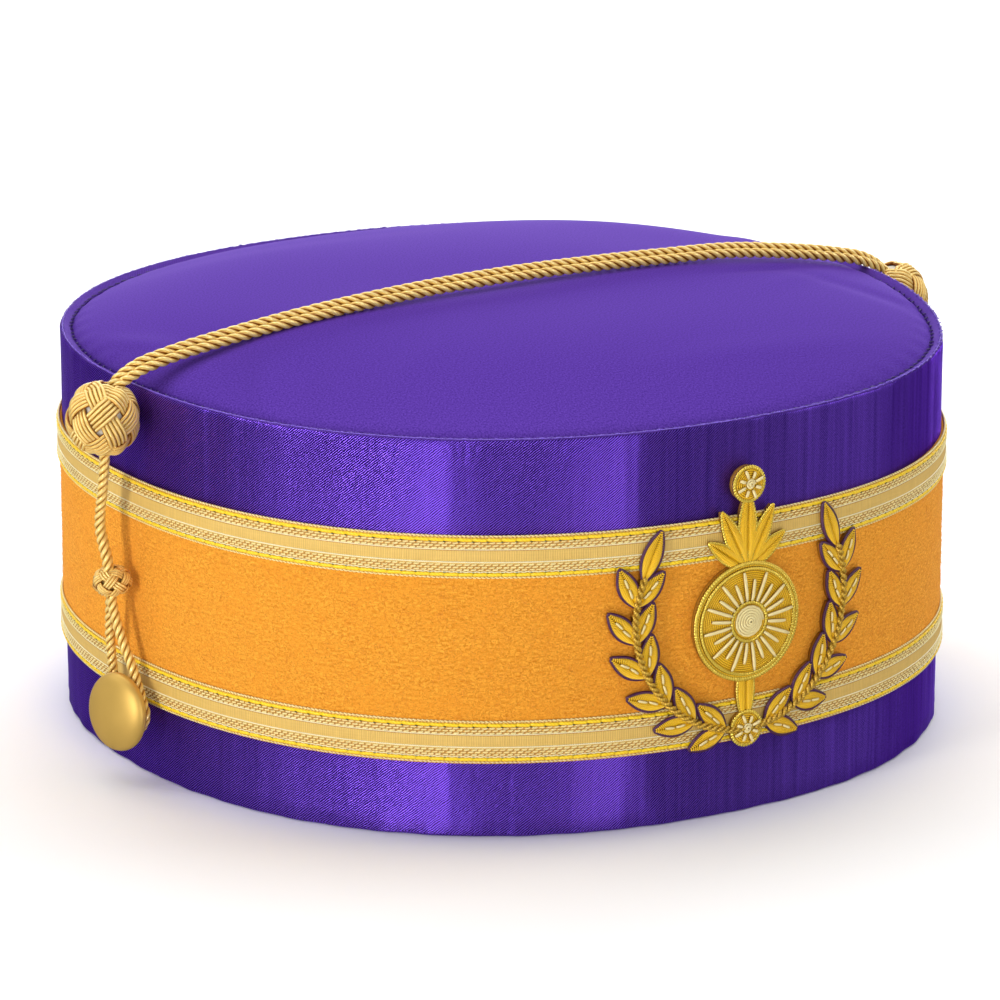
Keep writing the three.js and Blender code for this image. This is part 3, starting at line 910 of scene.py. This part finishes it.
def make_knot(side, name, knot):
    """A Turk's head knot over a core: one closed line, several strands wide, over and under."""
    out, y, z = knot["centre"]
    centre = np.array((side * (HALF_WIDTH + out), y, z))
    axis = np.array(knot["axis"]) * (side, 1, 1)
    s = np.linspace(0, TURN * KNOT_LEADS, knot["points"], endpoint=False)
    u = KNOT_BIGHTS * s / KNOT_LEADS
    latitude = np.cos(u)
    level = np.cos(latitude)
    ball = np.stack([level * np.cos(s), level * np.sin(s), np.sin(latitude)], 1)
    over = -np.tanh(2.2 * np.sin(u)) * np.cos(KNOT_LEADS * u)
    aside = unit(np.cross(ball, along(ball, True)))
    size = np.array([knot["radius"], knot["radius"], knot["half"]])
    gauge = knot["gauge"]
    z = unit(axis)
    x = unit(np.cross((0, 1, 0), z))
    turned = np.stack([x, np.cross(z, x), z])
    gimp = Solid()
    for k in range(knot["strands"]):
        shift = (k - (knot["strands"] - 1) / 2) * 2 * gauge
        strand = unit(ball + aside * shift / knot["radius"])
        strand = strand * size + strand * (over * knot["lift"])[:, None] - strand * gauge
        path, up = strand @ turned + centre, unit(ball / size) @ turned
        gimp.tube(path, up, gauge, 7, closed=True, tone=k * 3.1)
    gimp.make(f"{name}_gimp", MATERIALS["gimp"], "gold_cord", f"{name}_knot")
    tall = knot["core"] * size[2] / size[0]
    latitudes = np.linspace(-1.5, 1.5, 18)
    core = Solid()
    profile = [[knot["core"] * cos(a), tall * sin(a)] for a in latitudes]
    core.lathe(centre, axis, profile, 32)
    core.make(f"{name}_gimp_core", MATERIALS[knot["look"]], "gold_cord")


def make_knots():
    for side, ear in EARS:
        for kind, knot in KNOTS.items():
            make_knot(side, f"{ear}_{kind}", knot)


# ---- buttons

BUTTON = {
    "radius": 8.7, "back": 6.6, "edge": 0.62, "rim": 0.9, "dome": 2.6, "shank": 1.2,
    "out": 0.5, "y": -7.4, "z": 15, "turn": 75, "tilt": 0.09,
}


def make_buttons():
    """Domed brass buttons: a rolled edge, a low smooth dome and a shank for the cord."""
    back, edge, shank = BUTTON["back"], BUTTON["edge"], BUTTON["shank"]
    middle = BUTTON["radius"] - edge
    profile = [[0.05, 0.05], [shank - 0.1, 0.05], [shank, 0.2]]
    profile += [[shank, h] for h in np.linspace(1, back - 0.8, 5)]
    profile += [[shank + 0.5, back - 0.2], [2.6, back], [5, back]]
    profile += [[7.6, back + 0.05], [8.2, back - 0.02]]
    for a in np.linspace(0.2, 2.0, 9):
        profile.append([middle + edge * sin(a), back + edge - edge * cos(a)])
    wide, low = profile[-1]
    top = back + BUTTON["rim"] + BUTTON["dome"]
    for a in np.linspace(0.1, pi / 2 - 0.004, 26):
        profile.append([wide * cos(a) ** 0.9, low + (top - low) * sin(a)])
    turn = radians(BUTTON["turn"])
    for side, ear in EARS:
        solid = Solid()
        axis = (side * sin(turn), -cos(turn), BUTTON["tilt"])
        centre = (side * (HALF_WIDTH + BUTTON["out"]), BUTTON["y"], BUTTON["z"])
        solid.lathe(centre, axis, profile, 72)
        solid.make(f"{ear}_button_brass", MATERIALS["brass"], "button_brass", f"{ear}_button")


# ---- embroidered badge

BADGE = {"z": 43.5, "out": 1.45, "wreath": 26.5, "wreath_y": 2.5, "medallion": 13}
BEAD = 0.62  # length of one bead of pearl purl


def on_front(flat):
    """World points and outward vectors of badge points: x across, y up from its middle, height."""
    angle = flat[..., 0] / (HALF_DEPTH + BADGE["out"])
    points = on_wall(angle, BADGE["out"] + flat[..., 2], BADGE["z"] + flat[..., 1])
    return points, outward(angle)


class Needlework:
    """The badge's threads, gathered by kind, laid out flat and bent to the cap's front."""

    def __init__(self):
        self.kinds = defaultdict(Solid)

    def lay(self, kind, flat, radius, sides, closed=False):
        points, up = on_front(flat)
        self.kinds[kind].tube(points, up, radius, sides, closed, tone=rng.uniform(0, 9))

    def purl(self, flat, radius):
        """Pearl purl round a closed line: a stiff coil that looks like a string of beads."""
        ring = np.vstack([flat, flat[:1]])
        long = lengths(ring)[-1]
        count = int(long / BEAD) * 4
        path = at_lengths(ring, np.linspace(0, long, count, endpoint=False))
        bead = radius * (0.78 + 0.22 * np.array([1, 0.6, -0.6, 0.6]))[np.arange(count) % 4]
        self.lay("purl", path, bead, 6, True)

    def chip(self, x, y, turn, long, height, radius):
        """A cut length of bullion coil, sewn down so that it arches a little."""
        q = np.linspace(-0.5, 0.5, 6)
        run = q * long
        arch = height + radius * 0.4 + 0.35 * (1 - (2 * q) ** 2) * radius
        path = np.column_stack([x + run * cos(turn), y + run * sin(turn), arch])
        self.lay("bullion", path, radius * np.array([0.7, 1, 1, 1, 1, 0.7]), 7)

    def twisted(self, flat, radius, lay):
        """A two-ply gold twist couched down along a path."""
        points, up = on_front(flat)
        side = np.cross(along(points), up)
        twist(self.kinds["twist"], points, up, -side, radius, lay, plies=2, sides=6)

    def pad(self, outline, height):
        """The stuffed ground under an anticlockwise outline, rounded at its edge."""
        centre = outline.mean(0)
        steps = [(1.0, -0.7), (1.0, 0.45 * height), (0.86, 0.8 * height)]
        rings = []
        for share, h in steps + [(0.5, height), (0.05, height)]:
            ring = centre + (outline - centre) * share
            rings.append(np.column_stack([ring, np.full(len(ring), h)]))
        rings = np.array(rings)
        points, _ = on_front(rings)
        weave = np.concatenate([rings, rings[:, :1]], 1)
        self.kinds["ground"].grid(points, weave, caps=True)


def leaf_edge(length, width, q):
    """x and half-width of a leaf at q from its base to its tip, both 0 to 1."""
    return 2 * q * (1 - q) * 0.45 * length + q * q * length, 1.85 * q * (1 - q) * width


def leaf_frame(x, y, turn):
    """A function that gives the place on the badge of a point of the leaf."""
    c, s = cos(turn), sin(turn)
    return lambda run, across: (x + c * run - s * across, y + s * run + c * across)


def satin_leaf(work, x, y, turn, length, width, edge, height=1.0):
    """A leaf of padded satin stitch: slanted threads on either side of a vein, with an outline."""
    place = leaf_frame(x, y, turn)
    q = np.linspace(0.02, 0.98, 14)
    run, half = leaf_edge(length, width, q)
    loop = np.concatenate([run, run[::-1]]), np.concatenate([-half, half[::-1]])
    outline = np.column_stack(place(*loop))
    work.pad(outline, 0.55 * height)
    for side in (-1, 1):
        for t in np.arange(0.03, 0.985, 0.34 / length):
            tip, wide = leaf_edge(length, width, t)
            start = max(0.2, tip - 0.7 * wide)
            p = np.linspace(0, 1, 4)
            h = height * (0.42 + 0.5 * np.sin(pi * (0.12 + 0.8 * p)))
            flat = np.column_stack([*place(start + (tip - start) * p, side * wide * p), h])
            work.lay("satin", flat, 0.2, 4)
    outline = np.column_stack([outline, np.full(len(outline), 0.5 * height)])
    if edge == "purl":
        work.purl(outline, 0.42)
    else:
        dense = smooth_route(np.vstack([outline, outline[:1]]), 0.5)
        work.lay(edge, dense[:-1], 0.42, 5, closed=True)


def circle(y, radius, height, count):
    a = np.arange(count) / count * TURN
    return np.column_stack([radius * np.cos(a), y + radius * np.sin(a), np.full(count, height)])


def rosette(work, y, radius, rays, height):
    """A round boss: laid threads in rings, bullion rays, a purl border and a coiled middle."""
    work.pad(circle(y, radius, 0, 48)[:, :2], 0.7 * height)
    for r in np.arange(0.2 * radius, radius - 0.3, 0.46):
        dome = height * (0.62 + 0.2 * cos(r / radius * 1.4))
        work.lay("satin", circle(y, r, dome, max(16, int(r * 6))), 0.25, 4, closed=True)
    inner, outer = 0.36 * radius, 0.86 * radius
    for k in range(rays):
        a = (k + 0.5) / rays * TURN
        long = outer - inner if k % 2 == 0 else 0.72 * (outer - inner)
        middle = inner + long / 2
        spot = middle * cos(a), y + middle * sin(a)
        work.chip(*spot, a, long, 0.92 * height, min(0.42, 0.1 * radius))
    work.purl(circle(y, radius - 0.2, 0.62 * height, 160), min(0.62, 0.14 * radius))
    if radius > 6:
        work.purl(circle(y, radius - 1.35, 0.85 * height, 120), 0.45)
        work.purl(circle(y, 0.33 * radius, 0.95 * height, 60), 0.45)
    turns = np.linspace(0, 1, 90)
    wound = 0.27 * radius * (1 - turns)
    a = turns * TURN * max(2, round(0.27 * radius / 0.62))
    rise = height * (0.95 + 0.3 * turns)
    coil = np.column_stack([wound * np.cos(a), y + wound * np.sin(a), rise])
    work.lay("bullion", coil[:-2], 0.33, 6)


PALMETTE = {
    "y": 11.5,
    "leaves": [(54, 12, 3.8), (26, 15, 4.2), (0, 17.5, 4.8)],  # turn from upright, length, width
    "boss_y": 30.3,
    "boss_radius": 3.9,
}
WREATH = {"start": -79, "end": 26, "pairs": 6, "splay": 32, "leaf": 9.6, "leaf_width": 4.4}


def wreath_branch(work, side):
    """A curved stem with leaves in pairs and one at its tip, on the side that `side` says."""
    radius, middle = BADGE["wreath"], BADGE["wreath_y"]
    start, end, pairs = WREATH["start"], WREATH["end"], WREATH["pairs"]
    long, wide = WREATH["leaf"], WREATH["leaf_width"]

    def mirrored(turn):
        return turn if side > 0 else pi - turn

    for i in range(pairs + 1):
        tip = i == pairs
        at = radians(start + (end - start) * i / pairs - 5 * tip)
        x, y = side * radius * cos(at), middle + radius * sin(at)
        if tip:
            satin_leaf(work, x, y, mirrored(at + pi / 2), 1.2 * long, wide, "purple")
            continue
        for splay in (-1, 1):
            turn = mirrored(at + pi / 2 + splay * radians(WREATH["splay"]))
            satin_leaf(work, x, y, turn, long, wide, "purple")
            place = leaf_frame(x, y, turn)
            for share in (0.36, 0.62):
                spot = place(share * long, 0)
                work.chip(*spot, turn + rng.uniform(-0.12, 0.12), 2.1, 0.85, 0.3)
    a = np.radians(np.linspace(-90, end - 3, 110))
    x, y = side * radius * np.cos(a), middle + radius * np.sin(a)
    work.twisted(np.column_stack([x, y, np.full(len(a), 1.05)]), 0.95, 3.0)


def make_badge():
    work = Needlework()
    for side in (1, -1):
        wreath_branch(work, side)
    foot = BADGE["wreath_y"] - BADGE["wreath"]
    satin_leaf(work, 0, foot + 1, pi / 2, 16, 4.6, "purl")
    for degrees, long, wide in PALMETTE["leaves"]:
        for side in (-1, 1) if degrees else (1,):
            turn = pi / 2 + side * radians(degrees)
            satin_leaf(work, 0, PALMETTE["y"], turn, long, wide, "purl", 1.1)
    rosette(work, PALMETTE["boss_y"], PALMETTE["boss_radius"], 8, 1.5)
    rosette(work, foot, PALMETTE["boss_radius"], 8, 1.5)
    rosette(work, 0, BADGE["medallion"], 24, 1.7)
    names = {"ground": "ground", "satin": "satin_stitch", "purl": "pearl_purl",
             "bullion": "bullion", "twist": "stem_twist", "purple": "outline"}
    for kind, name in names.items():
        replaced = ["front_badge"] if kind == "ground" else []
        work.kinds[kind].make(f"badge_{name}", MATERIALS[kind], "gold_bullion", *replaced)


# ---- floor and light

# In metres: the floor's near edge, its bend and the bend's radius, the backdrop's top, half the
# width, and the gap under the cap.
FLOOR = {"near": -1.6, "far": 1.2, "bend": 0.6, "top": 2.4, "half": 2.6, "gap": 0.0002}


def make_floor():
    """A white floor that bends up into a backdrop, square to the camera."""
    far, bend, half = FLOOR["far"], FLOOR["bend"], FLOOR["half"]
    profile = [(FLOOR["near"], 0.0), (far, 0.0)]
    for a in np.linspace(0.1, pi / 2, 12):
        profile.append((far + bend * sin(a), bend - bend * cos(a)))
    profile.append((far + bend, FLOOR["top"]))
    points = [(x, y, z - FLOOR["gap"]) for y, z in profile for x in (-half, half)]
    corners = range(0, len(points) - 2, 2)
    mesh = bpy.data.meshes.new("studio_floor")
    mesh.from_pydata(points, [], [(i, i + 1, i + 3, i + 2) for i in corners])
    mesh.shade_smooth()
    s = Shade("studio_floor", roughness=0.9, specular_ior_level=0.2)
    s.set("Base Color", (0.92, 0.92, 0.92))
    mesh.materials.append(s.material)
    floor = add("studio_floor", mesh)
    floor.rotation_euler.z = radians(CAMERA["azimuth"])
    floor.visible_glossy = False


# Each lamp's azimuth and elevation in degrees, distance, width and height in metres, and watts.
SOFTBOXES = {
    "left": (-74, 8, 1.5, 0.26, 0.7, 14),
    "right": (-16, 8, 1.5, 0.3, 0.7, 6.5),
    "edge": (116, 10, 1.5, 0.1, 0.8, 1.6),
    "side": (75, 40, 1.8, 0.9, 0.9, 9),
    "far_side": (-130, 40, 1.8, 0.9, 0.9, 5),
    "back": (148, 12, 1.6, 1.6, 0.5, 8),
    "overhead": (160, 68, 2.0, 2.2, 2.2, 36),
}
FILL = 0.25


def make_lights():
    for name, (azimuth, elevation, distance, width, height, watts) in SOFTBOXES.items():
        data = bpy.data.lights.new(name, "AREA")
        data.shape = "RECTANGLE"
        data.size, data.size_y, data.energy = width, height, watts
        lamp = add(name, data)
        lamp.location = direction(azimuth, elevation) * distance
        aim_at(lamp, (0, 0, 0.05))
    world = bpy.data.worlds.new("studio")
    world.use_nodes = True
    background = world.node_tree.nodes["Background"]
    background.inputs["Color"].default_value = (1, 1, 1, 1)
    background.inputs["Strength"].default_value = FILL
    scene.world = world
    scene.view_settings.view_transform = "Standard"


make_cord("front")
make_cord("back")
make_wall()
make_top()
make_whip_stitches()
make_felt()
make_fuzz()
make_braid("lower", LOWER_BRAID)
make_braid("upper", UPPER_BRAID)
make_knots()
make_buttons()
make_badge()
make_floor()
make_lights()
